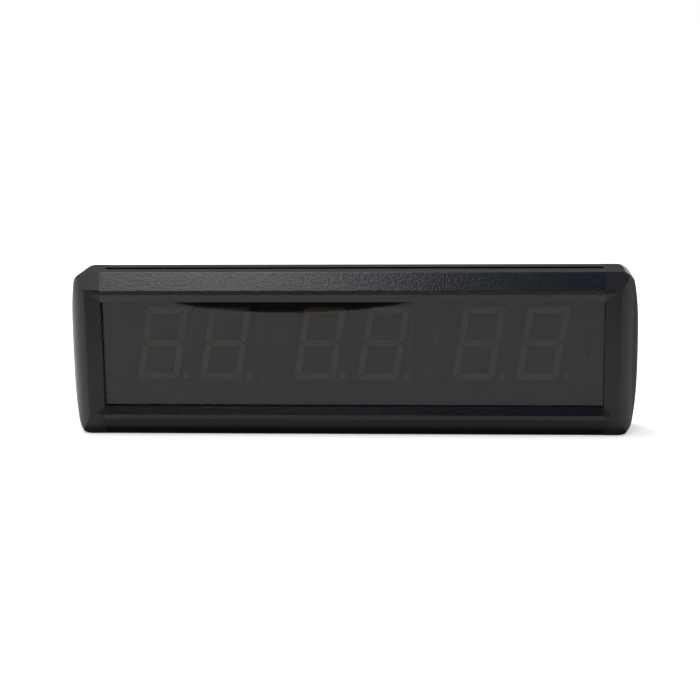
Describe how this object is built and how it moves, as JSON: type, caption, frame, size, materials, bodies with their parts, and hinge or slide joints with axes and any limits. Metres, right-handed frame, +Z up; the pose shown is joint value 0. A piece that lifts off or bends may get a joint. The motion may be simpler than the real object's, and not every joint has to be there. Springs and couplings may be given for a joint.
{
  "type": "led display clock",
  "caption": "Slim desk or wall clock with a row of slanted seven-segment digits behind a smoked window, in a black slotted rail housing with moulded end caps and rear setting buttons.",
  "frame": {"origin": "middle of the footprint, on the surface that the clock stands on", "axes": "+Z up, front window faces -Y, +X to the right seen from the front"},
  "size_m": [0.3078, 0.0308, 0.089],
  "materials": {
    "rail_finish": "fine textured black powder coat over an extrusion",
    "cap_plastic": "smooth satin black moulding",
    "window_acrylic": "polished smoked sheet",
    "panel_finish": "satin black",
    "board_mask": "dark solder mask",
    "digit_face": "grey face with milky bars",
    "colon_lens": "clear red lens",
    "pilot_lens": "clear lens",
    "receiver_lens": "infrared filter moulding",
    "screw_steel": "zinc plated",
    "jack_plastic": "moulded",
    "nut_nickel": "nickel plated",
    "buzzer_case": "moulded",
    "switch_case": "moulded",
    "button_plastic": "satin black",
    "cell_steel": "nickel plated",
    "holder_plastic": "moulded",
    "capacitor_sleeve": "shrunk sleeve",
    "crystal_can": "drawn can",
    "chip_package": "moulded"
  },
  "bodies": {
    "housing": {"top_rail": "rail_finish", "bottom_rail": "rail_finish", "left_end_cap": "cap_plastic", "right_end_cap": "cap_plastic", "front_window": "window_acrylic", "back_panel": "panel_finish", "main_board": "board_mask", "digit_module_1": "digit_face", "digit_module_2": "digit_face", "digit_module_3": "digit_face", "digit_module_4": "digit_face", "digit_module_5": "digit_face", "digit_module_6": "digit_face", "colon_lamp_1": "colon_lens", "colon_lamp_2": "colon_lens", "colon_lamp_3": "colon_lens", "colon_lamp_4": "colon_lens", "pilot_lamp_1": "pilot_lens", "pilot_lamp_2": "pilot_lens", "pilot_lamp_3": "pilot_lens", "pilot_lamp_4": "pilot_lens", "infrared_receiver": "receiver_lens", "left_upper_cap_screw": "screw_steel", "left_lower_cap_screw": "screw_steel", "right_upper_cap_screw": "screw_steel", "right_lower_cap_screw": "screw_steel", "power_jack": "jack_plastic", "jack_nut": "nut_nickel", "buzzer": "buzzer_case", "switch_1": "switch_case", "switch_2": "switch_case", "switch_3": "switch_case", "coin_cell": "cell_steel", "coin_cell_holder": "holder_plastic", "capacitor_1": "capacitor_sleeve", "capacitor_2": "capacitor_sleeve", "crystal": "crystal_can", "microcontroller": "chip_package", "display_driver_1": "chip_package", "display_driver_2": "chip_package", "clock_chip": "chip_package", "voltage_regulator": "chip_package"},
    "set_button": {"set_button": "button_plastic"},
    "up_button": {"up_button": "button_plastic"},
    "down_button": {"down_button": "button_plastic"}
  },
  "joints": [
    {"name": "set_button_press", "type": "slide", "parent": "housing", "child": "set_button", "axis": [0, -1, 0], "range_m": [0, 0.0008], "stiffness_N_per_m": 800},
    {"name": "up_button_press", "type": "slide", "parent": "housing", "child": "up_button", "axis": [0, -1, 0], "range_m": [0, 0.0008], "stiffness_N_per_m": 800},
    {"name": "down_button_press", "type": "slide", "parent": "housing", "child": "down_button", "axis": [0, -1, 0], "range_m": [0, 0.0008], "stiffness_N_per_m": 800}
  ]
}
